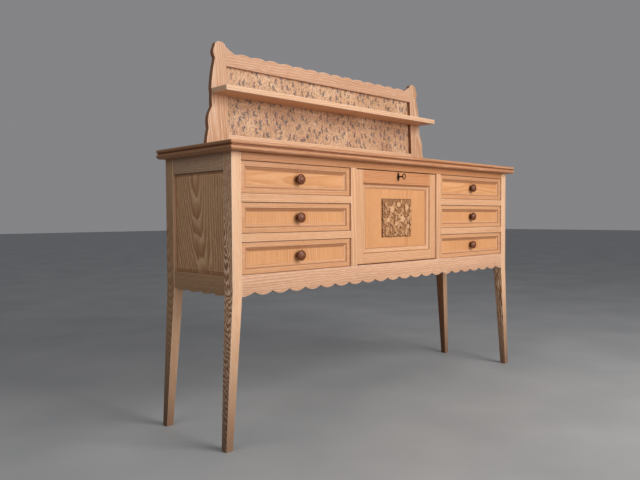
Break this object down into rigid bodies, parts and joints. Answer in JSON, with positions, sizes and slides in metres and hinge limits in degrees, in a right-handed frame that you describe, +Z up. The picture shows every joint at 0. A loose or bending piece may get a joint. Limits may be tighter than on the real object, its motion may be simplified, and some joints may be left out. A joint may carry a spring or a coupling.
{
  "type": "sideboard buffet",
  "caption": "Long low sideboard on tapered legs with drawers either side of a locking fall flap, lobed aprons and a raised back gallery with a shelf.",
  "frame": {"origin": "centre of the bounding box in X and Y, on the floor under the feet", "axes": "+X to the object's right along its length, -Y out of the front, +Z up"},
  "size_m": [1.676, 0.433, 1.366],
  "materials": {
    "frame_oak": "limed oak, matt, pale filler in the grain",
    "panel_oak": "limed oak panel, matt",
    "inner_oak": "plain oak, unfinished inside",
    "knob_wood": "dark stained turned wood, satin",
    "plaque_oak": "carved oak, darker wax in the hollows",
    "patterned_panel": "thin covered board with small printed sprigs, matt",
    "iron": "dark browned iron",
    "lock_brass": "dull brass",
    "steel": "plain steel"
  },
  "bodies": {
    "cabinet": {"leg_front_left": "frame_oak", "leg_front_right": "frame_oak", "leg_rear_left": "frame_oak", "leg_rear_right": "frame_oak", "worktop": "frame_oak", "side_top_rail_left": "frame_oak", "side_top_rail_right": "frame_oak", "side_panel_left": "panel_oak", "side_panel_right": "panel_oak", "side_apron_left": "frame_oak", "side_apron_right": "frame_oak", "front_top_rail": "frame_oak", "front_apron": "frame_oak", "partition_left": "frame_oak", "partition_right": "frame_oak", "dust_board_upper_left": "inner_oak", "dust_board_lower_left": "inner_oak", "dust_board_upper_right": "inner_oak", "dust_board_lower_right": "inner_oak", "cabinet_floor": "inner_oak", "back_panel": "inner_oak", "gallery_stile_left": "frame_oak", "gallery_stile_right": "frame_oak", "gallery_top_rail": "frame_oak", "gallery_base_rail": "frame_oak", "tile_panel": "patterned_panel", "gallery_shelf": "frame_oak", "flap_pivot_pin_left": "steel", "flap_pivot_pin_right": "steel", "stay_stud": "steel"},
    "flap": {"flap_frame": "frame_oak", "flap_panel": "panel_oak", "carved_plaque": "plaque_oak", "escutcheon": "iron", "lock_case": "lock_brass", "stay_bracket": "steel"},
    "key": {"key": "iron"},
    "lock_bolt": {"lock_bolt": "lock_brass"},
    "stay_bar": {"stay_bar": "steel"},
    "drawer_upper_left": {"drawer_upper_left_front": "frame_oak", "drawer_upper_left_box": "inner_oak", "drawer_upper_left_knob": "knob_wood"},
    "drawer_middle_left": {"drawer_middle_left_front": "frame_oak", "drawer_middle_left_box": "inner_oak", "drawer_middle_left_knob": "knob_wood"},
    "drawer_lower_left": {"drawer_lower_left_front": "frame_oak", "drawer_lower_left_box": "inner_oak", "drawer_lower_left_knob": "knob_wood"},
    "drawer_upper_right": {"drawer_upper_right_front": "frame_oak", "drawer_upper_right_box": "inner_oak", "drawer_upper_right_knob": "knob_wood"},
    "drawer_middle_right": {"drawer_middle_right_front": "frame_oak", "drawer_middle_right_box": "inner_oak", "drawer_middle_right_knob": "knob_wood"},
    "drawer_lower_right": {"drawer_lower_right_front": "frame_oak", "drawer_lower_right_box": "inner_oak", "drawer_lower_right_knob": "knob_wood"}
  },
  "joints": [
    {"name": "drawer_upper_left_slide", "type": "slide", "parent": "cabinet", "child": "drawer_upper_left", "axis": [0, -1, 0], "range_m": [0, 0.27]},
    {"name": "drawer_middle_left_slide", "type": "slide", "parent": "cabinet", "child": "drawer_middle_left", "axis": [0, -1, 0], "range_m": [0, 0.27]},
    {"name": "drawer_lower_left_slide", "type": "slide", "parent": "cabinet", "child": "drawer_lower_left", "axis": [0, -1, 0], "range_m": [0, 0.27]},
    {"name": "drawer_upper_right_slide", "type": "slide", "parent": "cabinet", "child": "drawer_upper_right", "axis": [0, -1, 0], "range_m": [0, 0.27]},
    {"name": "drawer_middle_right_slide", "type": "slide", "parent": "cabinet", "child": "drawer_middle_right", "axis": [0, -1, 0], "range_m": [0, 0.27]},
    {"name": "drawer_lower_right_slide", "type": "slide", "parent": "cabinet", "child": "drawer_lower_right", "axis": [0, -1, 0], "range_m": [0, 0.27]},
    {"name": "flap_hinge", "type": "hinge", "parent": "cabinet", "child": "flap", "pos_m": [0, -0.1685, 0.548], "axis": [1, 0, 0], "range_deg": [0, 90]},
    {"name": "key_turn", "type": "hinge", "parent": "flap", "child": "key", "pos_m": [0, -0.1765, 0.873], "axis": [0, -1, 0], "range_deg": [0, 180]},
    {"name": "bolt_slide", "type": "slide", "parent": "flap", "child": "lock_bolt", "axis": [0, 0, 1], "range_m": [0, 0.01]},
    {"name": "stay_pivot", "type": "hinge", "parent": "flap", "child": "stay_bar", "pos_m": [0.238, -0.1445, 0.72639], "axis": [1, 0, 0], "range_deg": [-45, 0]}
  ],
  "couplings": [
    {"joint": "bolt_slide", "follows": "key_turn", "m_per_rad": 0.0031831},
    {"joint": "stay_pivot", "follows": "flap_hinge", "ratio": -0.5}
  ]
}
